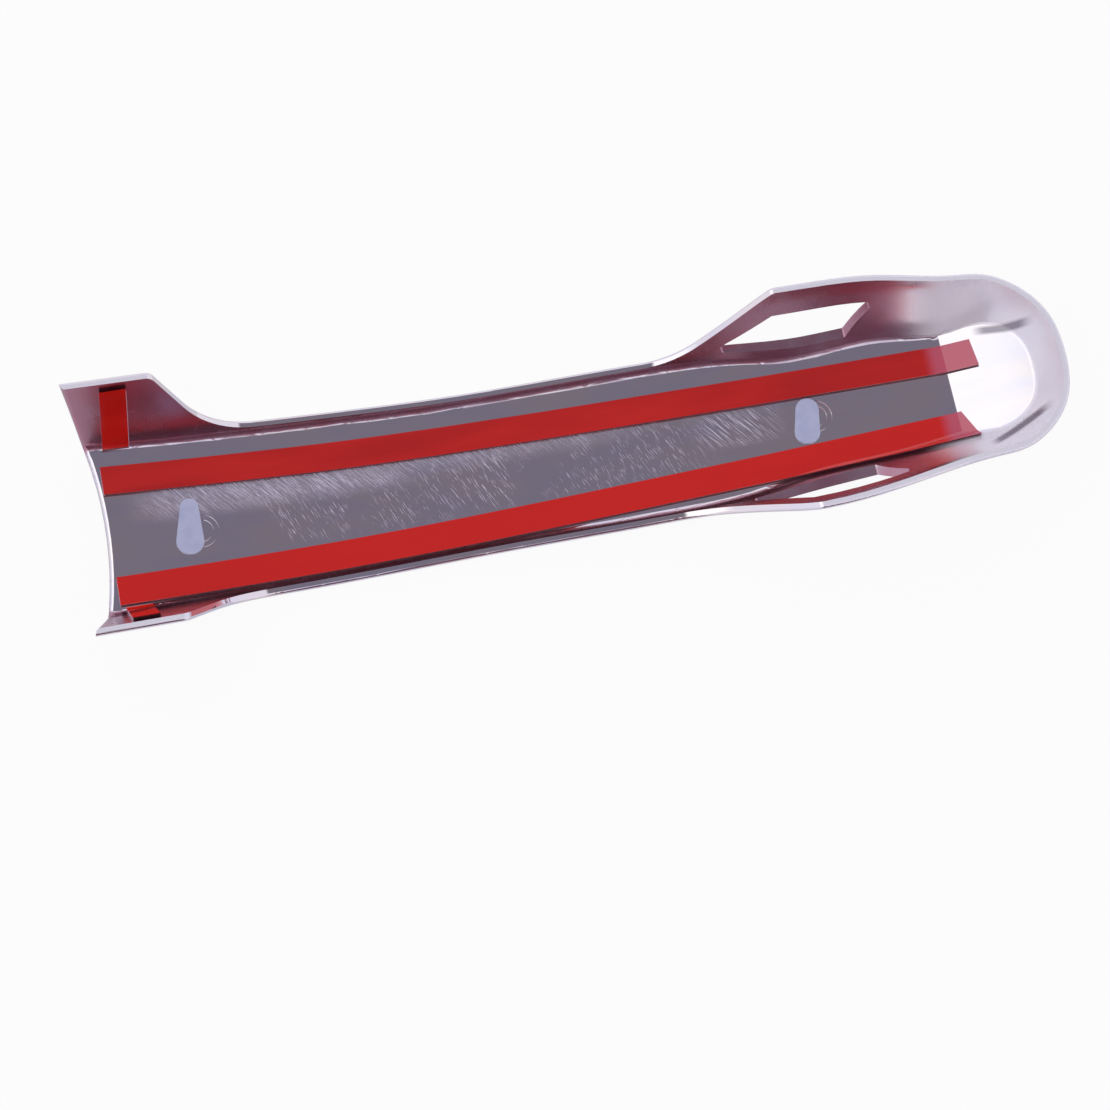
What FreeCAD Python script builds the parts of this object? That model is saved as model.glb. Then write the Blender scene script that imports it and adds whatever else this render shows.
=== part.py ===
import FreeCAD, Part
import math
import os
import Sketcher
from FreeCAD import Vector

# Stick-on plated cover for a car door's grab handle, seen with its hollow side up.
# X runs from the open rear end to the rounded nose, Y is across, Z is up.
# The belly rests at Z = 0 and the rim that meets the door skin is level.
# Overall sizes are those of the rim before its outer edge is rounded.
# The geometry is drawn from the rear tips, and each node is placed half the length back.

SIZES = {
    # overall form
    "overall_length": 240.3,
    "overall_height": 23.5,
    "rear_half_width": 31.3,
    "shoulder_half_width": 28.9,
    "nose_reach": 24.1,
    "nose_corner_swell": 0.8,
    "nose_side_shift": 1.35,
    "shoulder_length": 44.2,
    "shell_wall": 1.8,
    "inner_crease_radius": 2.0,
    # belly line in side view
    "belly_low_place": 66.0,
    "belly_rear_radius": 700.0,
    "belly_front_radius": 450.0,
    "belly_rise_angle": 3.65,
    "scoop_start_before_nose": 4.3,
    "scoop_rise_angle": 12.0,
    "scoop_bend_radius": 12.0,
    # rear end, an arc in plan
    "rear_end_radius": 100.0,
    "rear_edge_radius": 1.0,
    # finger gap
    "ear_length": 21.3,
    "ear_edge_angle": 58.0,
    "ear_foot_radius": 20.0,
    "lip_above_face": 1.4,
    "lip_curve_radius": 575.0,
    "shoulder_edge_angle": 33.0,
    "shoulder_foot_radius": 30.0,
    "rim_corner_radius": 2.5,
    "outer_edge_radius": 0.6,
    # windows, measured from the shoulder corner and up from the belly line there
    "window_tail_back": 16.4,
    "window_tail_height": 3.25,
    "window_crown_height": 11.35,
    "window_top_reach": 26.7,
    "window_top_height": 11.55,
    "window_foot_reach": 18.6,
    "window_foot_height": 4.65,
    "window_corner_radius": 1.0,
    # two long tape strips on the face, one on each ear wall
    "foam_thickness": 0.8,
    "film_thickness": 0.15,
    "strip_width": 7.0,
    "strip_rear_margin": 6.0,
    "upper_strip_past_nose": 4.7,
    "upper_strip_rear_side": 12.1,
    "upper_strip_front_side": 8.1,
    "upper_strip_bow": -0.9,
    "lower_strip_past_nose": 0.3,
    "lower_strip_rear_side": -15.8,
    "lower_strip_front_side": -9.6,
    "lower_strip_bow": -0.8,
    "ear_strip_width": 6.3,
    "ear_strip_margin": 7.2,
    "ear_strip_foot": 19.9,
    "ear_strip_top": 27.7,
    "ear_strip_lean": 1.7,
    # glue dabs half over round moulding marks
    "dab_thickness": 0.3,
    "rear_mark_place": 27.3,
    "rear_mark_side": -3.5,
    "front_mark_past_shoulder": 7.1,
    "front_mark_side": -0.5,
    "mark_depth": 0.2,
    "mark_line": 0.45,
    "mark_outer_radius": 4.1,
    "mark_inner_radius": 2.8,
}

# The side wall at stations from the rear to the nose centre: share of the way,
# slope out at the rim, and how much the slope grows for each millimetre down.
WALL_STATIONS = (
    (-0.04, 0.42, 0.0),
    (0.12, 0.42, 0.0),
    (0.28, 0.42, 0.0),
    (0.46, 0.46, 0.0),
    (0.65, 0.49, 0.0),
    (0.75, 0.45, 0.008),
    (0.83, 0.32, 0.026),
    (0.91, 0.30, 0.026),
    (1.0, 0.32, 0.028),
)
# The same slope and growth round the nose, at angles from its tip.
NOSE_WALL = (0.35, 0.03)
NOSE_ANGLES = (68, 46, 24, 0)
# How late the rim turns in between the shoulder and the nose.
SHOULDER_DROOP = 1.8
# Depths of the wall's sections as shares of the height. The wall is straight below the last,
# down to a section under the belly.
DEPTH_SHARES = (-0.06, 0.13, 0.35, 0.57, 0.76)
BELOW_SHARE = 1.06
BELOW_SLOPE = 0.35
# The belly line starts a little behind the rear tips.
REAR_SHARE = -0.03
# Corners of a long strip as shares of its length, and how its front corners are cut askew.
STRIP_STATIONS = (0.0, 0.25, 0.5, 0.75, 1.0)
UPPER_SKEW = {1: -0.4, -1: 0.4}
LOWER_SKEW = {1: -2.0, -1: 1.2}

doc = FreeCAD.newDocument("HandleCover")
sheet = doc.addObject("Spreadsheet::Sheet", "Sizes")
for row, (alias, value) in enumerate(SIZES.items(), start=1):
    sheet.set("A%d" % row, alias)
    sheet.set("B%d" % row, str(value))
    sheet.setAlias("B%d" % row, alias)
doc.recompute()


def size(alias):
    return float(getattr(sheet, alias))


NOSE_PLACE = size("overall_length") - size("nose_reach")
SHOULDER_PLACE = NOSE_PLACE - size("shoulder_length")
NOSE = "(Sizes.overall_length - Sizes.nose_reach)"
SHOULDER = "(Sizes.overall_length - Sizes.nose_reach - Sizes.shoulder_length)"


# Freeform walls and belly

def smooth(share):
    share = min(max(share, 0.0), 1.0)
    return share * share * (3 - 2 * share)


def rim_half_width(x):
    """Outer half width of the rim: a taper to the shoulder, then a droop to the nose."""
    if x <= SHOULDER_PLACE:
        taper = size("rear_half_width") - size("shoulder_half_width")
        return size("rear_half_width") - taper * x / SHOULDER_PLACE
    along = (x - SHOULDER_PLACE) / size("shoulder_length")
    droop = size("shoulder_half_width") - size("nose_reach")
    return size("shoulder_half_width") - droop * along ** SHOULDER_DROOP


def rim_points():
    """The rim from the rear round the nose and back: x, y, outward direction, slope, growth."""
    half = []
    for share, slope, growth in WALL_STATIONS:
        x = share * NOSE_PLACE
        half.append((x, rim_half_width(x), (0.0, 1.0), slope, growth))
    for degrees in NOSE_ANGLES:
        turn = math.radians(degrees)
        reach = size("nose_reach") + size("nose_corner_swell") * math.sin(2 * turn)
        out = (math.cos(turn), math.sin(turn))
        half.append((NOSE_PLACE + reach * out[0], reach * out[1], out) + NOSE_WALL)
    mirrored = [(x, -y, (ox, -oy), slope, growth)
                for x, y, (ox, oy), slope, growth in half[-2::-1]]
    return half + mirrored


def side_shift(x):
    """The nose stands a little to one side of the middle line."""
    return size("nose_side_shift") * smooth((x - SHOULDER_PLACE) / (0.5 * size("shoulder_length")))


def section(depth, inset):
    """Closed outline at a depth below the rim, inset from the outer face."""
    height = size("overall_height")
    curved = DEPTH_SHARES[-1] * height
    points = []
    for x, y, (ox, oy), slope, growth in rim_points():
        reach = min(depth, curved)
        bowed = growth * reach
        inward = (slope + bowed) * reach + BELOW_SLOPE * max(depth - curved, 0.0)
        inward += inset * math.sqrt(1 + (slope + 2 * bowed) ** 2)
        points.append(Vector(x - inward * ox, y - inward * oy + side_shift(x), height - depth))
    curve = Part.BSplineCurve()
    curve.interpolate(Points=points)
    return Part.Wire([curve.toShape(), Part.makeLine(points[-1], points[0])])


def belly_wire(inset):
    """Side view of everything above the belly line when that is raised by the inset."""
    low, bend = size("belly_low_place"), size("scoop_bend_radius")
    rear, front = size("belly_rear_radius"), size("belly_front_radius")
    rise = math.radians(size("belly_rise_angle"))
    scoop = rise + math.radians(size("scoop_rise_angle"))
    straight_end = NOSE_PLACE - size("scoop_start_before_nose")
    straight = (straight_end - low - front * math.sin(rise)) / math.cos(rise)

    def down(angle):
        return Vector(math.sin(angle), 0, -math.cos(angle))

    def ahead(angle):
        return Vector(math.cos(angle), 0, math.sin(angle))

    def arc(centre, radius, start, stop):
        return Part.Arc(centre + down(start) * radius, centre + down((start + stop) / 2) * radius,
                        centre + down(stop) * radius)

    rear_centre, front_centre = Vector(low, 0, rear), Vector(low, 0, front)
    bend_centre = front_centre + down(rise) * (front - bend) + ahead(rise) * straight
    rear -= inset
    front -= inset
    bend -= inset
    start = math.asin((REAR_SHARE * NOSE_PLACE - low) / rear)
    rear_foot = rear_centre + down(start) * rear
    front_foot = bend_centre + down(scoop) * bend + ahead(scoop) * 2 * size("nose_reach")
    roof = front_foot.z + size("overall_height")
    rear_arc = arc(rear_centre, rear, start, 0.0)
    front_arc = arc(front_centre, front, 0.0, rise)
    bend_arc = arc(bend_centre, bend, rise, scoop)
    rest = Part.makePolygon([bend_arc.EndPoint, front_foot, Vector(front_foot.x, 0, roof),
                             Vector(rear_foot.x, 0, roof), rear_foot])
    joining = Part.makeLine(front_arc.EndPoint, bend_arc.StartPoint)
    return Part.Wire([rear_arc.toShape(), front_arc.toShape(), joining, bend_arc.toShape()] + rest.Edges)


def crease_edges(solid):
    """The edges where the belly meets the walls, left open at the cut rear end."""
    belly = []
    for face in solid.Faces:
        across, along = face.Surface.parameter(face.CenterOfMass)
        if face.normalAt(across, along).z < -0.5:
            belly.append(face)
    belly = [face for face in belly if face.Surface.TypeId != "Part::GeomBSplineSurface"]
    edges = [edge for face in belly for edge in face.Edges if edge.BoundBox.XLength > 0.01]
    return [edge for edge in edges if sum(edge.isSame(other) for other in edges) == 1]


def form(inset):
    """The solid within the outer face inset by a distance, its crease rounded to match."""
    height = size("overall_height")
    depths = [share * height for share in DEPTH_SHARES + (BELOW_SHARE,)]
    walls = Part.makeLoft([section(depth, inset) for depth in depths], True, False)
    reach = 2 * size("rear_half_width")
    above = Part.Face(belly_wire(inset))
    above.translate(Vector(0, reach, 0))
    solid = walls.common(above.extrude(Vector(0, -2 * reach, 0))).Solids[0]
    radius = size("inner_crease_radius") + size("shell_wall") - inset
    return solid.makeFillet(radius, crease_edges(solid)).Solids[0]


def coded(label, shape):
    feature = doc.addObject("Part::Feature", label)
    feature.Shape = shape
    return feature


wall = size("shell_wall")
foam_top = wall + size("foam_thickness")
film_top = foam_top + size("film_thickness")
hollow = form(wall)
foam_form = form(foam_top)
blank = coded("hollow_blank", form(0.0).cut(hollow))
foam_layer = coded("foam_layer", hollow.cut(foam_form))
film_layer = coded("film_layer", foam_form.cut(form(film_top)))
dab_layer = coded("dab_layer", hollow.cut(form(wall + size("dab_thickness"))))
mark_layer = coded("mark_layer", form(wall - size("mark_depth")).cut(hollow))


# Sketch helpers

def bound(sketch, value, expression, *constraint):
    index = sketch.addConstraint(Sketcher.Constraint(*(constraint + (value,))))
    sketch.setExpression("Constraints[%d]" % index, expression)
    return index


def place_point(sketch, geometry, end, x, y):
    """Holds one end of a curve at a place. Each of x and y is a value and its expression."""
    bound(sketch, x[0], x[1], "DistanceX", -1, 1, geometry, end)
    bound(sketch, y[0], y[1], "DistanceY", -1, 1, geometry, end)


def polygon(sketch, corners):
    """A closed polygon whose corners are pairs of (value, expression)."""
    count = len(corners)
    places = [Vector(x[0], y[0], 0) for x, y in corners]
    for i in range(count):
        sketch.addGeometry(Part.LineSegment(places[i], places[(i + 1) % count]), False)
    for i in range(count):
        sketch.addConstraint(Sketcher.Constraint("Coincident", i, 2, (i + 1) % count, 1))
        place_point(sketch, i, 1, *corners[i])


def rounded_polygon(sketch, corners, radius):
    """The same with each corner rounded to the size of that name."""
    count = len(corners)
    places = [Vector(x[0], y[0], 0) for x, y in corners]
    round_by = size(radius)
    ends = []
    for i in range(count):
        back = (places[i - 1] - places[i]).normalize()
        ahead = (places[(i + 1) % count] - places[i]).normalize()
        half = back.getAngle(ahead) / 2
        tangent = round_by / math.tan(half)
        centre = places[i] + (back + ahead).normalize() * (round_by / math.sin(half))
        ends.append((places[i] + back * tangent, places[i] + ahead * tangent, centre))
    lines, arcs, points = [], [], []
    for i in range(count):
        segment = Part.LineSegment(ends[i][1], ends[(i + 1) % count][0])
        lines.append(sketch.addGeometry(segment, False))
    for start, stop, centre in ends:
        inner = centre + ((start + stop) / 2 - centre).normalize() * round_by
        arcs.append(sketch.addGeometry(Part.Arc(start, inner, stop), False))
    for i in range(count):
        point = sketch.addGeometry(Part.Point(places[i]), True)
        points.append(point)
        place_point(sketch, point, 1, *corners[i])
    for i in range(count):
        arc = arcs[i]
        first = (sketch.Geometry[arc].StartPoint - ends[i][0]).Length < 1e-6
        near, far = (1, 2) if first else (2, 1)
        sketch.addConstraint(Sketcher.Constraint("Tangent", lines[i - 1], 2, arc, near))
        sketch.addConstraint(Sketcher.Constraint("Tangent", lines[i], 1, arc, far))
        bound(sketch, round_by, "Sizes." + radius, "Radius", arc)
        sketch.addConstraint(Sketcher.Constraint("PointOnObject", points[i], 1, lines[i]))
        sketch.addConstraint(Sketcher.Constraint("PointOnObject", points[i], 1, lines[i - 1]))


def value(alias, sign=1, plus=0.0, base=""):
    """A size as a value and expression pair, added to a base expression and its value."""
    expression = "%s%s * Sizes.%s" % (base + " + " if base else "", sign, alias)
    return plus + sign * size(alias), expression


def at_shoulder(alias, sign=1):
    return value(alias, sign, SHOULDER_PLACE, SHOULDER)


def body_sketch(body, plane, label):
    sketch = body.newObject("Sketcher::SketchObject", label)
    origin = [o for o in body.Origin.OriginFeatures if o.Role == plane][0]
    sketch.AttachmentSupport = (origin, "")
    sketch.MapMode = "FlatFace"
    return sketch


def pocket_both_ways(body, sketch, label):
    pocket = body.newObject("PartDesign::Pocket", label)
    pocket.Profile = sketch
    pocket.Type = 1
    pocket.Midplane = True
    doc.recompute()
    return pocket


# Shell: the blank trimmed to the rim, the finger gap, two windows and the curved rear end

cover = doc.addObject("PartDesign::Body", "cover_body")
cover.BaseFeature = blank
doc.recompute()

gap = body_sketch(cover, "XZ_Plane", "rim_and_gap_sketch")
top = size("overall_height")
rise = math.radians(size("belly_rise_angle"))
lip_low = size("shell_wall") + size("lip_above_face")
lip_radius = size("lip_curve_radius")
lip_centre = Vector(size("belly_low_place"), lip_low + lip_radius, 0)
lip_ahead = Vector(math.cos(rise), math.sin(rise), 0)
lip_end = lip_centre + Vector(math.sin(rise), -math.cos(rise), 0) * lip_radius


def foot_on_arc(corner, along, inner, radius):
    """Where the arc at the ear's foot touches the slanted edge and the curved lip."""
    start = corner + inner * radius - lip_centre
    dot = start.dot(along)
    run = -dot + math.sqrt(dot * dot - start.dot(start) + (lip_radius - radius) ** 2)
    centre = corner + inner * radius + along * run
    return corner + along * run, centre + (centre - lip_centre).normalize() * radius, centre


def corner_round(corner, before, after, radius):
    """Where an arc touches the lines before and after a corner, and its centre."""
    back = before * -1
    reach = radius / math.tan(back.getAngle(after) / 2)
    centre = corner + (back + after).normalize() * math.hypot(radius, reach)
    return corner + back * reach, corner + after * reach, centre


def arc_between(start, stop, centre):
    """The shorter arc, drawn anticlockwise whichever end comes first in the outline."""
    if (start - centre).cross(stop - centre).z < 0:
        start, stop = stop, start
    radius = (start - centre).Length
    middle = centre + ((start + stop) / 2 - centre).normalize() * radius
    return Part.Arc(start, middle, stop)


level = Vector(1, 0, 0)
round_by = size("rim_corner_radius")
fall = math.radians(size("ear_edge_angle"))
climb = math.radians(size("shoulder_edge_angle"))
ear_down = Vector(math.cos(fall), -math.sin(fall), 0)
shoulder_up = Vector(math.cos(climb), math.sin(climb), 0)
ear_corner = Vector(size("ear_length"), top, 0)
shoulder_corner = Vector(SHOULDER_PLACE, top, 0)
ear_round = corner_round(ear_corner, level, ear_down, round_by)
ear_foot = foot_on_arc(ear_corner, ear_down, Vector(math.sin(fall), math.cos(fall), 0),
                       size("ear_foot_radius"))
crossing = (lip_end - shoulder_corner).cross(lip_ahead).z / shoulder_up.cross(lip_ahead).z
shoulder_foot = corner_round(shoulder_corner + shoulder_up * crossing, lip_ahead, shoulder_up,
                             size("shoulder_foot_radius"))
shoulder_round = corner_round(shoulder_corner, shoulder_up, level, round_by)

far_rear = Vector(-0.1 * NOSE_PLACE, top, 0)
far_front = Vector(size("overall_length") + 0.1 * NOSE_PLACE, top, 0)
lift = Vector(0, 0.5 * top, 0)
outline = [
    Part.LineSegment(far_rear, ear_round[0]),
    arc_between(*ear_round),
    Part.LineSegment(ear_round[1], ear_foot[0]),
    arc_between(*ear_foot),
    arc_between(ear_foot[1], lip_end, lip_centre),
    Part.LineSegment(lip_end, shoulder_foot[0]),
    arc_between(*shoulder_foot),
    Part.LineSegment(shoulder_foot[1], shoulder_round[0]),
    arc_between(*shoulder_round),
    Part.LineSegment(shoulder_round[1], far_front),
    Part.LineSegment(far_front, far_front + lift),
    Part.LineSegment(far_front + lift, far_rear + lift),
    Part.LineSegment(far_rear + lift, far_rear),
]
for piece in outline:
    gap.addGeometry(piece, False)


def arc_end(index, place):
    """Which end of an arc lies at a place, as the sketch numbers ends."""
    return 1 if (gap.Geometry[index].StartPoint - place).Length < 1e-6 else 2


ends = {
    1: ear_round[:2], 3: ear_foot[:2], 4: (ear_foot[1], lip_end),
    6: shoulder_foot[:2], 8: shoulder_round[:2],
}
for index in range(9):
    stop = arc_end(index, ends[index][1]) if index in ends else 2
    start = arc_end(index + 1, ends[index + 1][0]) if index + 1 in ends else 1
    gap.addConstraint(Sketcher.Constraint("Tangent", index, stop, index + 1, start))
for index in range(9, 13):
    gap.addConstraint(Sketcher.Constraint("Coincident", index, 2, (index + 1) % 13, 1))
for line in (0, 9, 11):
    gap.addConstraint(Sketcher.Constraint("Horizontal", line))
for line in (10, 12):
    gap.addConstraint(Sketcher.Constraint("Vertical", line))
for lines, corner in (
    ((0, 2), (value("ear_length"), value("overall_height"))),
    ((7, 9), ((SHOULDER_PLACE, SHOULDER), value("overall_height"))),
):
    point = gap.addGeometry(Part.Point(Vector(corner[0][0], corner[1][0], 0)), True)
    place_point(gap, point, 1, *corner)
    for line in lines:
        gap.addConstraint(Sketcher.Constraint("PointOnObject", point, 1, line))
bound(gap, far_rear.x, "-0.1 * " + NOSE, "DistanceX", -1, 1, 0, 1)
bound(gap, far_front.x, "Sizes.overall_length + 0.1 * " + NOSE, "DistanceX", -1, 1, 9, 2)
bound(gap, lift.y, "0.5 * Sizes.overall_height", "DistanceY", 10, 1, 10, 2)
for index, radius in (
    (1, "rim_corner_radius"), (3, "ear_foot_radius"), (4, "lip_curve_radius"),
    (6, "shoulder_foot_radius"), (8, "rim_corner_radius"),
):
    bound(gap, size(radius), "Sizes." + radius, "Radius", index)
place_point(gap, 4, 3, value("belly_low_place"),
            (lip_centre.y, "Sizes.shell_wall + Sizes.lip_above_face + Sizes.lip_curve_radius"))
for line, angle, way in ((2, "ear_edge_angle", -1), (5, "belly_rise_angle", 1),
                         (7, "shoulder_edge_angle", 1)):
    bound(gap, math.radians(way * size(angle)), "%s * Sizes.%s" % (way, angle), "Angle", line)
doc.recompute()
rim_cut = pocket_both_ways(cover, gap, "rim_and_gap")


def edges_where(shape, wanted):
    """Names of the edges whose middle, outward direction and two face normals pass a test."""
    picked = []
    for index, edge in enumerate(shape.Edges, start=1):
        middle = edge.valueAt((edge.FirstParameter + edge.LastParameter) / 2)
        outward = Vector(max(middle.x - NOSE_PLACE, 0.0), middle.y, 0).normalize()
        faces = shape.ancestorsOfType(edge, Part.Face)
        normals = [face.normalAt(*face.Surface.parameter(middle)) for face in faces]
        if wanted(middle, outward, normals):
            picked.append("Edge%d" % index)
    return picked


def on_outer_rim(middle, outward, normals):
    """The outer wall meets the rim or one of the gap's cut faces."""
    cut = [normal for normal in normals if abs(normal.y) < 1e-4 and normal.z > 0.3]
    wall_side = [normal for normal in normals if normal.dot(outward) > 0.3]
    return len(cut) == 1 and len(wall_side) == 1


def on_rear_hollow(middle, outward, normals):
    """The rear end's arc meets the floor, crease or wall of the hollow."""
    end = [normal for normal in normals if abs(normal.z) < 1e-4 and normal.x < -0.9]
    inner = [normal for normal in normals if normal.z > 0.05 and normal.dot(outward) < 0.05]
    return len(end) == 1 and len(inner) == 1 and middle.z < 0.9 * top


def rounded(label, feature, wanted, radius):
    edging = cover.newObject("PartDesign::Fillet", label)
    edging.Base = (feature, edges_where(feature.Shape, wanted))
    edging.Radius = size(radius)
    edging.setExpression("Radius", "Sizes." + radius)
    doc.recompute()
    return edging


rounded("rounded_outer_edge", rim_cut, on_outer_rim, "outer_edge_radius")

belly_there = (SHOULDER_PLACE - size("belly_low_place")) * math.tan(rise)
belly_there -= size("belly_front_radius") * (1 / math.cos(rise) - 1)
BELLY_THERE = "((%s - Sizes.belly_low_place) * tan(Sizes.belly_rise_angle)" % SHOULDER
BELLY_THERE += " - Sizes.belly_front_radius * (1 / cos(Sizes.belly_rise_angle) - 1))"


def above_belly(alias):
    return value(alias, 1, belly_there, BELLY_THERE)


window = body_sketch(cover, "XZ_Plane", "window_sketch")
rounded_polygon(window, [
    (at_shoulder("window_tail_back", -1), above_belly("window_tail_height")),
    (at_shoulder("window_foot_reach"), above_belly("window_foot_height")),
    (at_shoulder("window_top_reach"), above_belly("window_top_height")),
    ((SHOULDER_PLACE, SHOULDER), above_belly("window_crown_height")),
], "window_corner_radius")
doc.recompute()
pocket_both_ways(cover, window, "windows")

rear = body_sketch(cover, "XY_Plane", "rear_end_sketch")
rear_radius = size("rear_end_radius")
rear_back = math.sqrt(rear_radius ** 2 - size("rear_half_width") ** 2)
rear.addGeometry(Part.Circle(Vector(-rear_back, 0, 0), Vector(0, 0, 1), rear_radius), False)
bound(rear, rear_radius, "Sizes.rear_end_radius", "Radius", 0)
bound(rear, -rear_back, "-sqrt(Sizes.rear_end_radius ^ 2 - Sizes.rear_half_width ^ 2)",
      "DistanceX", -1, 1, 0, 3)
rear.addConstraint(Sketcher.Constraint("PointOnObject", 0, 3, -1))
doc.recompute()
rear_cut = pocket_both_ways(cover, rear, "rear_end")
cover.Tip = rounded("rounded_rear_edge", rear_cut, on_rear_hollow, "rear_edge_radius")
doc.recompute()


# Prisms that cut each strip, dab and mark out of its layer

def prism(sketch, label):
    tool = doc.addObject("Part::Extrusion", label)
    tool.Base = sketch
    tool.DirMode = "Custom"
    tool.Dir = Vector(0, 0, 1)
    tool.Solid = True
    tool.LengthFwd = size("overall_height")
    tool.setExpression("LengthFwd", "Sizes.overall_height")
    return tool


def plain_sketch(label):
    return doc.addObject("Sketcher::SketchObject", label)


def placed(feature):
    feature.Placement = FreeCAD.Placement(Vector(-size("overall_length") / 2, 0, 0), FreeCAD.Rotation())
    feature.setExpression("Placement.Base.x", "-Sizes.overall_length / 2")
    return feature


def cut_out(label, layer, tool):
    piece = doc.addObject("Part::Common", label)
    piece.Base = layer
    piece.Tool = tool
    return placed(piece)


def long_strip(name, front_skew):
    """A strip along the face between two ends, bowed sideways by a small amount."""
    rear_x = size("strip_rear_margin")
    reach = NOSE_PLACE + size(name + "_past_nose") - rear_x
    rear_side, front_side = size(name + "_rear_side"), size(name + "_front_side")
    span = "(%s + Sizes.%s_past_nose - Sizes.strip_rear_margin)" % (NOSE, name)
    sides = {1: [], -1: []}
    for share in STRIP_STATIONS:
        bowed = 4 * share * (1 - share)
        middle = rear_side + share * (front_side - rear_side) + bowed * size(name + "_bow")
        formula = "Sizes.{0}_rear_side + {1} * (Sizes.{0}_front_side - Sizes.{0}_rear_side)".format(
            name, share)
        formula += " + %s * Sizes.%s_bow" % (bowed, name)
        for side, corners in sides.items():
            skew = front_skew[side] if share == 1.0 else 0.0
            x = (rear_x + share * reach + skew,
                 "Sizes.strip_rear_margin + %s * %s + %s" % (share, span, skew))
            y = (middle + side * size("strip_width") / 2,
                 "%s + %s * Sizes.strip_width / 2" % (formula, side))
            corners.append((x, y))
    sketch = plain_sketch(name + "_sketch")
    polygon(sketch, sides[-1] + sides[1][::-1])
    return prism(sketch, name + "_prism")


def ear_strip(name, side):
    """A short strip up an ear's wall, leaning back towards its foot."""
    width, margin, lean = size("ear_strip_width"), size("ear_strip_margin"), size("ear_strip_lean")
    foot = value("ear_strip_foot", side)
    high = value("ear_strip_top", side)
    corners = [
        ((margin, "Sizes.ear_strip_margin"), foot),
        ((margin + width, "Sizes.ear_strip_margin + Sizes.ear_strip_width"), foot),
        ((margin + lean + width,
          "Sizes.ear_strip_margin + Sizes.ear_strip_lean + Sizes.ear_strip_width"), high),
        ((margin + lean, "Sizes.ear_strip_margin + Sizes.ear_strip_lean"), high),
    ]
    sketch = plain_sketch(name + "_sketch")
    polygon(sketch, corners)
    return prism(sketch, name + "_prism")


def ring_marks(name, place, side):
    sketch = plain_sketch(name + "_sketch")
    for ring in ("mark_outer_radius", "mark_inner_radius"):
        for way in (1, -1):
            radius = size(ring) + way * size("mark_line") / 2
            circle = Part.Circle(Vector(place[0], side[0], 0), Vector(0, 0, 1), radius)
            index = sketch.addGeometry(circle, False)
            bound(sketch, radius, "Sizes.%s + %s * Sizes.mark_line / 2" % (ring, way), "Radius", index)
            place_point(sketch, index, 3, place, side)
    return prism(sketch, name + "_prism")


def pear(name, centres, radii):
    """A dab outline: two round ends and the lines that touch both."""
    (ax, ay), (bx, by) = centres
    start, stop = Vector(ax[0], ay[0], 0), Vector(bx[0], by[0], 0)
    axis = stop - start
    tilt = math.asin((radii[0] - radii[1]) / axis.Length)
    heading = math.atan2(axis.y, axis.x)
    left, right = heading + math.pi / 2 - tilt, heading - math.pi / 2 + tilt

    def edge(centre, radius, angle):
        return centre + Vector(math.cos(angle), math.sin(angle), 0) * radius

    sketch = plain_sketch(name + "_sketch")
    back = edge(start, radii[0], heading + math.pi)
    tip = edge(stop, radii[1], heading)
    sketch.addGeometry(Part.Arc(edge(start, radii[0], left), back, edge(start, radii[0], right)), False)
    sketch.addGeometry(Part.LineSegment(edge(start, radii[0], right), edge(stop, radii[1], right)), False)
    sketch.addGeometry(Part.Arc(edge(stop, radii[1], right), tip, edge(stop, radii[1], left)), False)
    sketch.addGeometry(Part.LineSegment(edge(stop, radii[1], left), edge(start, radii[0], left)), False)
    for first in range(4):
        sketch.addConstraint(Sketcher.Constraint("Tangent", first, 2, (first + 1) % 4, 1))
    for index, radius in ((0, radii[0]), (2, radii[1])):
        sketch.addConstraint(Sketcher.Constraint("Radius", index, radius))
    place_point(sketch, 0, 3, ax, ay)
    place_point(sketch, 2, 3, bx, by)
    return prism(sketch, name + "_prism")


rear_mark = (value("rear_mark_place"), value("rear_mark_side"))
front_mark = (at_shoulder("front_mark_past_shoulder"), value("front_mark_side"))


def beside(mark, dx, dy):
    (x, x_formula), (y, y_formula) = mark
    return (x + dx, "%s + %s" % (x_formula, dx)), (y + dy, "%s + %s" % (y_formula, dy))


# Each dab's mark, then the offset from it and the radius of its low and its high end
DAB_ENDS = {
    "rear_dab": (rear_mark, (-2.9, -2.1), 3.3, (-1.9, 6.4), 2.2),
    "front_dab": (front_mark, (-2.6, -3.6), 3.1, (-1.4, 2.2), 2.8),
}
strips = {
    "upper_tape": long_strip("upper_strip", UPPER_SKEW),
    "lower_tape": long_strip("lower_strip", LOWER_SKEW),
    "upper_ear": ear_strip("upper_ear_strip", 1),
    "lower_ear": ear_strip("lower_ear_strip", -1),
}
nodes = []
for name, tool in strips.items():
    nodes.append(cut_out(name + "_foam", foam_layer, tool))
    nodes.append(cut_out(name + "_film", film_layer, tool))
for name, (mark, low_end, low_radius, high_end, high_radius) in DAB_ENDS.items():
    tool = pear(name, (beside(mark, *low_end), beside(mark, *high_end)), (low_radius, high_radius))
    nodes.append(cut_out(name, dab_layer, tool))

marks = doc.addObject("Part::MultiFuse", "mark_prisms")
marks.Shapes = [ring_marks("rear_mark", *rear_mark), ring_marks("front_mark", *front_mark)]
grooves = doc.addObject("Part::Common", "mark_grooves")
grooves.Base = mark_layer
grooves.Tool = marks
shell = doc.addObject("Part::Cut", "cover_shell")
shell.Base = cover
shell.Tool = grooves
nodes.append(placed(shell))
doc.recompute()

for item in doc.Objects:
    if {"Invalid", "Error"} & set(item.State):
        raise RuntimeError("%s is in state %s" % (item.Name, item.State))
for node in nodes:
    if node.Shape.isNull() or not node.Shape.isValid():
        raise RuntimeError("%s has no valid shape" % node.Label)

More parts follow.
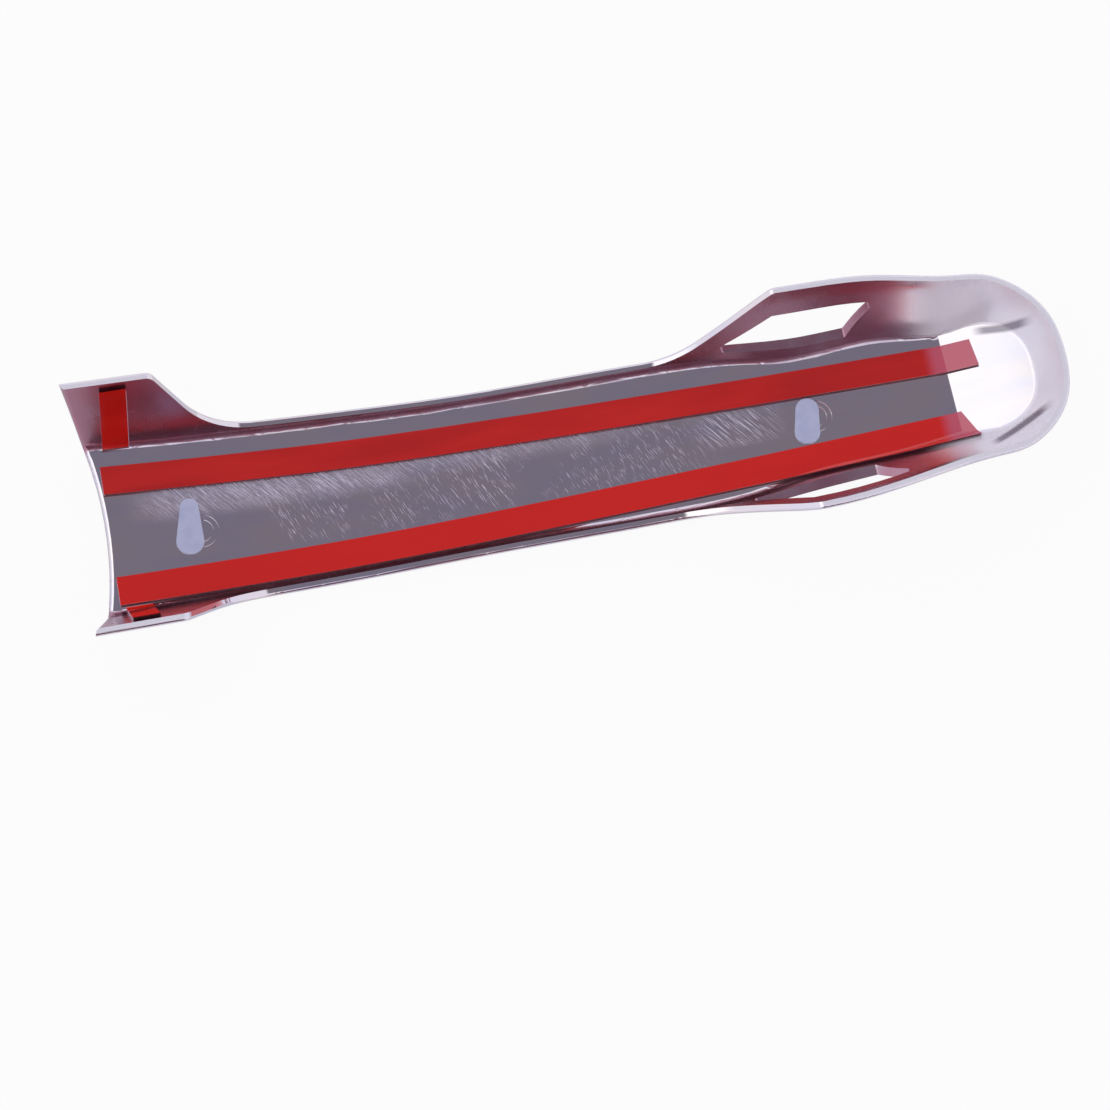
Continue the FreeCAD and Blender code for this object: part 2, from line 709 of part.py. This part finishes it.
os.makedirs("parts", exist_ok=True)
for node in nodes:
    node.Shape.exportStep("parts/%s.step" % node.Label)
    box = node.Shape.BoundBox
    print("%s volume %.1f solids %d box %.1f %.1f %.1f to %.1f %.1f %.1f" % (
        node.Label, node.Shape.Volume, len(node.Shape.Solids),
        box.XMin, box.YMin, box.ZMin, box.XMax, box.YMax, box.ZMax))
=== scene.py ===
import math

import bpy
from mathutils import Matrix, Vector

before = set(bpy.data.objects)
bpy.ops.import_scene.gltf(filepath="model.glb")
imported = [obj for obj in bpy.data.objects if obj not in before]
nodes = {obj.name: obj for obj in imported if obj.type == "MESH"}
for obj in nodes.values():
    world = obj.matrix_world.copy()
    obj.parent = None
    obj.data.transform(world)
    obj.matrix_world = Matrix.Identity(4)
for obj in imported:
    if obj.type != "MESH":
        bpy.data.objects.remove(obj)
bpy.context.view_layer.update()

MM = 0.001


# Shader helpers. Inputs are values or sockets, and lengths are in millimetres.

def node(tree, kind, inputs=None, **settings):
    """A new node, with its inputs given under their index or name."""
    made = tree.nodes.new(kind)
    for key, value in settings.items():
        setattr(made, key, value)
    for key, value in (inputs or {}).items():
        if isinstance(value, bpy.types.NodeSocket):
            tree.links.new(value, made.inputs[key])
        else:
            made.inputs[key].default_value = value
    return made


def new_material(name):
    material = bpy.data.materials.new(name)
    material.use_nodes = True
    material.node_tree.nodes.clear()
    return material, material.node_tree


def show(tree, shader, output="ShaderNodeOutputMaterial"):
    node(tree, output, {"Surface": shader})


def principled(tree, inputs):
    return node(tree, "ShaderNodeBsdfPrincipled", inputs).outputs[0]


def diffuse(tree, colour):
    return node(tree, "ShaderNodeBsdfDiffuse", {"Color": (*colour, 1)}).outputs[0]


def blend(tree, share, first, second):
    return node(tree, "ShaderNodeMixShader", {0: share, 1: first, 2: second}).outputs[0]


def mix(tree, share, low, high):
    """A colour between two others, each a plain colour or a socket."""
    low, high = (end if isinstance(end, bpy.types.NodeSocket) else (*end, 1) for end in (low, high))
    return node(tree, "ShaderNodeMix", {0: share, 6: low, 7: high}, data_type="RGBA").outputs[2]


def maths(tree, operation, first, second=0.0):
    return node(tree, "ShaderNodeMath", {0: first, 1: second}, operation=operation).outputs[0]


def times(tree, product, *others):
    for value in others:
        product = maths(tree, "MULTIPLY", product, value)
    return product


def largest(tree, found, *others):
    for value in others:
        found = maths(tree, "MAXIMUM", found, value)
    return found


def remap(tree, value, low, high, to_low=0.0, to_high=1.0):
    made = node(tree, "ShaderNodeMapRange", {0: value, 1: low, 2: high, 3: to_low, 4: to_high},
                clamp=True, interpolation_type="SMOOTHSTEP")
    return made.outputs[0]


def band(tree, value, low, high, soft):
    """One where a value lies between two limits, fading out over a soft edge."""
    return times(tree, remap(tree, value, low - soft, low + soft),
                 remap(tree, value, high - soft, high + soft, 1.0, 0.0))


def place(tree, scale=(1, 1, 1), turn=0.0, shift=0.0):
    """Object coordinates, shifted along X, turned about Z and then scaled."""
    coords = node(tree, "ShaderNodeTexCoord").outputs["Object"]
    shifted = node(tree, "ShaderNodeVectorMath", {0: coords, 1: (shift * MM, 0, 0)}, operation="SUBTRACT")
    turned = node(tree, "ShaderNodeVectorRotate", {"Vector": shifted.outputs[0], "Angle": turn},
                  rotation_type="Z_AXIS")
    scaled = node(tree, "ShaderNodeVectorMath", {0: turned.outputs[0], 1: tuple(s / MM for s in scale)},
                  operation="MULTIPLY")
    return scaled.outputs[0]


def axis_of(tree, axis):
    return node(tree, "ShaderNodeSeparateXYZ", {0: place(tree)}).outputs[axis]


def facing(tree, axis):
    """One part of the direction that the surface faces."""
    normal = node(tree, "ShaderNodeNewGeometry").outputs["True Normal"]
    return node(tree, "ShaderNodeSeparateXYZ", {0: normal}).outputs[axis]


def noise(tree, vector, detail=2.0, rough=0.5):
    inputs = {"Vector": vector, "Scale": 1.0, "Detail": detail, "Roughness": rough}
    return node(tree, "ShaderNodeTexNoise", inputs).outputs["Fac"]


def bump(tree, height, strength, distance):
    inputs = {"Height": height, "Strength": strength, "Distance": distance * MM}
    return node(tree, "ShaderNodeBump", inputs).outputs[0]


# Chrome plating: a mirror on the face, hazier on the inner walls, with a painted plum reflection of the red
# film on those walls and a painted white highlight on the rim and nose

COOL_METAL, WARM_METAL = (0.79, 0.77, 0.84), (0.86, 0.80, 0.80)
# Painted reflection: deep and pale plum stand in for the red film mirrored in the inner walls and window cut
# faces
DEEP_PLUM_REFLECTION, PALE_PLUM_REFLECTION = (0.47, 0.20, 0.26), (0.46, 0.28, 0.35)
STREAK_GREY = (0.22, 0.20, 0.24)
SCRATCH_GREY = (0.62, 0.58, 0.68)
# Painted highlight: a diffuse white laid over the rim and the nose walls in place of their bright reflections
PAINTED_HIGHLIGHT_WHITE = (0.90, 0.89, 0.94)
WALL_HAZE = 0.22
# How far up a surface has to face to be the flat face or the rim
FACE_UP = (0.93, 0.98)
# Along the part: where the painted plum reflection on the walls gives way to the hazy nose with its painted
# white highlight
PLUM_REFLECTION_END = (78.0, 93.0)
NOSE_HAZE = (82.0, 96.0)
RIM_LEVEL = 23.5
# The windows: their reach along the part and up, and how far out the walls stand there
WINDOW_ALONG = (34.0, 80.0)
WINDOW_UP = (8.6, 17.9)
WINDOW_OUT = (15.0, 17.0)
# The shoulder's sloping edge above the windows: its rise and its level at the middle of the part
SHOULDER_RISE = 0.649
SHOULDER_LEVEL = -10.2
# Start in plan, rise along the part, length and half width of the nose's dark reflections
UPPER_STREAK = ((103.0, 13.4), -0.15, 11.0, 1.5)
LOWER_STREAK = ((99.0, -17.1), 0.444, 14.0, 1.5)
# Rubbing marks: turn about Z, width, length, seed and the range of noise that shows
HATCH = (-0.68, 0.15, 6.0, 11.0, 0.53, 0.64)
FINE_HATCH = (-0.78, 0.12, 4.0, 37.0, 0.55, 0.66)
TICKS = (-0.42, 0.15, 3.5, 71.0, 0.61, 0.69)
# Rubbed places on the face: limits along and across, and the softness of the edge
REAR_RUB = (-104, -42, 1.5, 9.5, 8)
MIDDLE_RUB = (-60, 12, 4.0, 9.0, 10)
FRONT_RUB = (30, 49, -4.0, 4.5, 4)
TICK_PLACE = (-80, 30, -9.5, 6.0, 9)


def inner_wall(tree):
    """One on walls and creases that face into the hollow, short of the bright nose."""
    side = maths(tree, "SIGN", axis_of(tree, "Y"))
    steep = remap(tree, times(tree, facing(tree, "Y"), side, -1.0), 0.10, 0.30)
    return times(tree, steep, remap(tree, axis_of(tree, "X"), *PLUM_REFLECTION_END, 1.0, 0.0))


def window_edge(tree):
    """One on the cut faces of the two windows."""
    along, up = axis_of(tree, "X"), axis_of(tree, "Z")
    flat = remap(tree, maths(tree, "ABSOLUTE", facing(tree, "Y")), 0.05, 0.15, 1.0, 0.0)
    level = maths(tree, "SUBTRACT", up, times(tree, along, SHOULDER_RISE))
    below = remap(tree, level, SHOULDER_LEVEL - 2.3, SHOULDER_LEVEL - 1.3, 1.0, 0.0)
    out = remap(tree, maths(tree, "ABSOLUTE", axis_of(tree, "Y")), *WINDOW_OUT)
    return times(tree, flat, below, out, band(tree, along, *WINDOW_ALONG, 1.0),
                 band(tree, up, *WINDOW_UP, 0.2))


def nose_wall(tree):
    """One on the steep inner walls of the bright nose."""
    up = facing(tree, "Z")
    return times(tree, remap(tree, up, 0.80, 0.93, 1.0, 0.0), remap(tree, up, 0.02, 0.12),
                 remap(tree, axis_of(tree, "X"), *NOSE_HAZE))


def streak(tree, start, rise, length, half_width):
    """One on a dark reflection that crosses the nose."""
    along = maths(tree, "SUBTRACT", axis_of(tree, "X"), start[0])
    line = maths(tree, "ADD", times(tree, along, rise), start[1])
    across = maths(tree, "ABSOLUTE", maths(tree, "SUBTRACT", axis_of(tree, "Y"), line))
    return times(tree, remap(tree, across, 0.3 * half_width, half_width, 1.0, 0.0),
                 band(tree, along, 0.0, length, 2.0))


def zone(tree, x_low, x_high, y_low, y_high, soft):
    """One on a soft-edged patch of the face."""
    return times(tree, band(tree, axis_of(tree, "X"), x_low, x_high, soft),
                 band(tree, axis_of(tree, "Y"), y_low, y_high, soft / 3))


def strokes(tree, turn, width, length, seed, low, high):
    """Fine parallel rubbing marks, finer across than along."""
    grain = noise(tree, place(tree, (1 / width, 1 / length, 0.2), turn, seed), 1.0)
    return remap(tree, grain, low, high)


def rubbing(tree, cloud):
    """How far the face is scratched: marks, and a faint haze where they are dense."""
    hatch = strokes(tree, *HATCH)
    dense = largest(tree, zone(tree, *REAR_RUB), zone(tree, *MIDDLE_RUB))
    sparse = times(tree, zone(tree, *TICK_PLACE), remap(tree, cloud, 0.40, 0.55))
    marks = largest(tree,
                    times(tree, largest(tree, hatch, strokes(tree, *FINE_HATCH)), dense),
                    times(tree, hatch, zone(tree, *FRONT_RUB)),
                    times(tree, strokes(tree, *TICKS), sparse))
    return largest(tree, times(tree, marks, 0.9), times(tree, dense, 0.21))


def plated():
    material, tree = new_material("plated_chrome")
    cloud = noise(tree, place(tree, (0.10, 0.10, 0.10)), 3.0, 0.6)
    drift = noise(tree, place(tree, (0.05, 0.16, 0.05), shift=20.0))
    peel = noise(tree, place(tree, (0.8, 0.8, 0.8)))
    # The inner walls and window cut faces: these get the painted plum reflection and a hazier finish
    wall_reflection_and_haze = largest(tree, inner_wall(tree), window_edge(tree))
    nose = nose_wall(tree)
    streaks = largest(tree, streak(tree, *UPPER_STREAK), streak(tree, *LOWER_STREAK))
    face = remap(tree, facing(tree, "Z"), *FACE_UP)
    rim = times(tree, face, remap(tree, axis_of(tree, "Z"), RIM_LEVEL - 0.5, RIM_LEVEL - 0.2))

    metal = mix(tree, remap(tree, drift, 0.35, 0.65), COOL_METAL, WARM_METAL)
    painted_plum_reflection = mix(tree, remap(tree, cloud, 0.3, 0.7), DEEP_PLUM_REFLECTION, PALE_PLUM_REFLECTION)
    # Painted reflection: the red film's plum reflection is painted into the colour of the inner walls and
    # window cut faces
    tint = mix(tree, times(tree, wall_reflection_and_haze, 0.9), metal, painted_plum_reflection)
    tint = mix(tree, times(tree, streaks, 0.85), tint, STREAK_GREY)
    rough = maths(tree, "ADD", remap(tree, cloud, 0.3, 0.7, 0.03, 0.06),
                  times(tree, largest(tree, wall_reflection_and_haze, nose), WALL_HAZE))
    mirror = principled(tree, {"Base Color": tint, "Metallic": 1.0, "Roughness": rough,
                               "Normal": bump(tree, peel, 0.006, 0.2)})

    scratched = blend(tree, times(tree, rubbing(tree, cloud), face), mirror, diffuse(tree, SCRATCH_GREY))
    # Painted highlight: the nose walls, short of the dark reflections, and the rim are blended towards a flat
    # white
    nose_highlight = times(tree, nose, maths(tree, "SUBTRACT", 1.0, streaks), 0.65)
    painted_highlight = largest(tree, times(tree, rim, 0.8), nose_highlight)
    show(tree, blend(tree, painted_highlight, scratched, diffuse(tree, PAINTED_HIGHLIGHT_WHITE)))
    return material


# Foam: long sides with painted shade, and pale end faces

# Painted shade: the two dark side colours stand in for the shade on the foam's long sides
FOAM_SHADED_DARK, FOAM_SHADED_LIGHT, FOAM_END = (0.12, 0.035, 0.045), (0.18, 0.06, 0.07), (0.80, 0.62, 0.70)


def foam():
    material, tree = new_material("acrylic_foam")
    cells = noise(tree, place(tree, (2.2, 2.2, 2.2)), 3.0, 0.6)
    # Painted shade: the long sides are coloured dark, with some random variation, while the end faces keep
    # the pale foam colour
    side = mix(tree, remap(tree, cells, 0.3, 0.7), FOAM_SHADED_DARK, FOAM_SHADED_LIGHT)
    end = remap(tree, maths(tree, "ABSOLUTE", facing(tree, "X")), 0.4, 0.7)
    show(tree, principled(tree, {"Base Color": mix(tree, end, side, FOAM_END), "Roughness": 0.7,
                                 "Normal": bump(tree, cells, 0.4, 0.1)}))
    return material


# Release film: red, with painted light brightening the near strip, pink where its ends are loose

FILM_DARK, FILM_RED = (0.48, 0.009, 0.006), (0.60, 0.014, 0.009)
FILM_LIT_BRIGHT, FILM_PINK = (0.70, 0.015, 0.008), (0.58, 0.10, 0.15)
LIT_NEAR_STRIP = (-6.0, 0.0)
LOOSE_END = (88.0, 92.0)


def film():
    material, tree = new_material("red_release_film")
    slow = noise(tree, place(tree, (0.025, 0.14, 0.05)))
    ripple = noise(tree, place(tree, (0.06, 0.35, 0.3)))
    lit_near = remap(tree, axis_of(tree, "Y"), *LIT_NEAR_STRIP, 1.0, 0.0)
    tint = mix(tree, remap(tree, slow, 0.3, 0.7), FILM_DARK, FILM_RED)
    # Painted light: the near strip is coloured brighter than the far one, standing in for the light on it
    tint = mix(tree, times(tree, lit_near, 0.8), tint, FILM_LIT_BRIGHT)
    tint = mix(tree, remap(tree, axis_of(tree, "X"), *LOOSE_END), tint, FILM_PINK)
    show(tree, principled(tree, {"Base Color": tint, "Roughness": 0.10, "Coat Weight": 0.6,
                                 "Coat Roughness": 0.03, "Normal": bump(tree, ripple, 0.10, 0.3)}))
    return material


# Dried glue

GLUE_DARK, GLUE_LIGHT = (0.44, 0.475, 0.66), (0.50, 0.53, 0.70)


def glue():
    material, tree = new_material("milky_glue")
    lumps = noise(tree, place(tree, (0.35, 0.35, 0.35)))
    tint = mix(tree, remap(tree, lumps, 0.3, 0.7), GLUE_DARK, GLUE_LIGHT)
    show(tree, principled(tree, {"Base Color": tint, "Roughness": 0.35,
                                 "Normal": bump(tree, lumps, 0.15, 0.15)}))
    return material


LOOKS = {"cover": plated(), "foam": foam(), "film": film(), "dab": glue()}
for name, piece in nodes.items():
    kind = next(key for key in LOOKS if key in name)
    piece.data.materials.clear()
    piece.data.materials.append(LOOKS[kind])


# Studio floor: pale paper that the camera sees as near white, with the part's shadow kept

FLOOR_HALF = 3.0
FLOOR_DROP = 0.05 * MM
FLOOR_PAPER = (0.86, 0.86, 0.87)
CAMERA_WHITE = 0.93

floor_mesh = bpy.data.meshes.new("floor")
corners = [(x * FLOOR_HALF, y * FLOOR_HALF, 0) for x, y in ((-1, -1), (1, -1), (1, 1), (-1, 1))]
floor_mesh.from_pydata(corners, [], [(0, 1, 2, 3)])
floor = bpy.data.objects.new("floor", floor_mesh)
floor.location.z = -FLOOR_DROP
bpy.context.scene.collection.objects.link(floor)


def seen_by_camera(tree):
    return node(tree, "ShaderNodeLightPath").outputs["Is Camera Ray"]


def floor_look():
    material, tree = new_material("studio_floor")
    glow = node(tree, "ShaderNodeEmission", {"Color": (1, 1, 1, 1), "Strength": 1.0}).outputs[0]
    show(tree, blend(tree, times(tree, seen_by_camera(tree), CAMERA_WHITE), diffuse(tree, FLOOR_PAPER), glow))
    return material


floor.data.materials.append(floor_look())


# Surroundings: pale, with a dim patch overhead that the flat face mirrors, a dark near side
# that the walls mirror and a bright panel to the rear that the scoop mirrors

SKY_PALE = (0.86, 0.84, 0.95)
SKY_PANEL = (1.25, 1.25, 1.28)
SKY_DARK_SIDE = (0.17, 0.09, 0.13)
SKY_DIM_PATCH = (0.205, 0.185, 0.235)
DIM_DIRECTION = Vector((0.15, 0.28, 0.95)).normalized()
DIM_ANGLES = (20, 16)
SIDE_SPREAD = 1.7


def background(tree, colour):
    return node(tree, "ShaderNodeBackground", {"Color": colour, "Strength": 1.0}).outputs[0]


def surroundings():
    world = bpy.data.worlds.new("studio")
    world.use_nodes = True
    tree = world.node_tree
    tree.nodes.clear()
    direction = node(tree, "ShaderNodeTexCoord").outputs["Generated"]
    parts = node(tree, "ShaderNodeSeparateXYZ", {0: direction}).outputs
    overhead = node(tree, "ShaderNodeVectorMath", {0: direction, 1: tuple(DIM_DIRECTION)},
                    operation="DOT_PRODUCT").outputs["Value"]

    panel = times(tree, remap(tree, parts["X"], -0.16, -0.08, 1.0, 0.0), remap(tree, parts["Z"], 0.55, 0.75))
    sideways = maths(tree, "SUBTRACT", times(tree, parts["Y"], -1.0),
                     times(tree, maths(tree, "ABSOLUTE", parts["X"]), SIDE_SPREAD))
    near_side = times(tree, remap(tree, sideways, 0.0, 0.2), remap(tree, parts["Z"], 0.02, 0.12))
    dim = remap(tree, overhead, *(math.cos(math.radians(angle)) for angle in DIM_ANGLES))

    sky = mix(tree, panel, SKY_PALE, SKY_PANEL)
    sky = mix(tree, near_side, sky, SKY_DARK_SIDE)
    sky = mix(tree, dim, sky, SKY_DIM_PATCH)
    white = background(tree, (1, 1, 1, 1))
    show(tree, blend(tree, seen_by_camera(tree), background(tree, sky), white), "ShaderNodeOutputWorld")
    return world


bpy.context.scene.world = surroundings()


# The camera was solved from paired left and right points of the photograph.

CAMERA_PLACE = Vector((-94.11, -192.05, 575.97)) * MM
CAMERA_RIGHT = Vector((0.97767, -0.19144, 0.08665))
CAMERA_DOWN = Vector((-0.15763, -0.94081, -0.30005))
CAMERA_AHEAD = Vector((0.13896, 0.27969, -0.94998))
FOCAL_PIXELS = 2500.0
PHOTO_PIXELS = 1110.0
SENSOR_MM = 36.0

lens = bpy.data.cameras.new("camera")
lens.sensor_fit = "HORIZONTAL"
lens.sensor_width = SENSOR_MM
lens.lens = SENSOR_MM * FOCAL_PIXELS / PHOTO_PIXELS
lens.clip_start = 0.01
lens.clip_end = 20.0
camera = bpy.data.objects.new("camera", lens)
turn = Matrix((CAMERA_RIGHT, -CAMERA_DOWN, -CAMERA_AHEAD)).transposed()
camera.matrix_world = Matrix.Translation(CAMERA_PLACE) @ turn.to_4x4()
bpy.context.scene.collection.objects.link(camera)
bpy.context.scene.camera = camera

bpy.context.scene.view_settings.view_transform = "Standard"
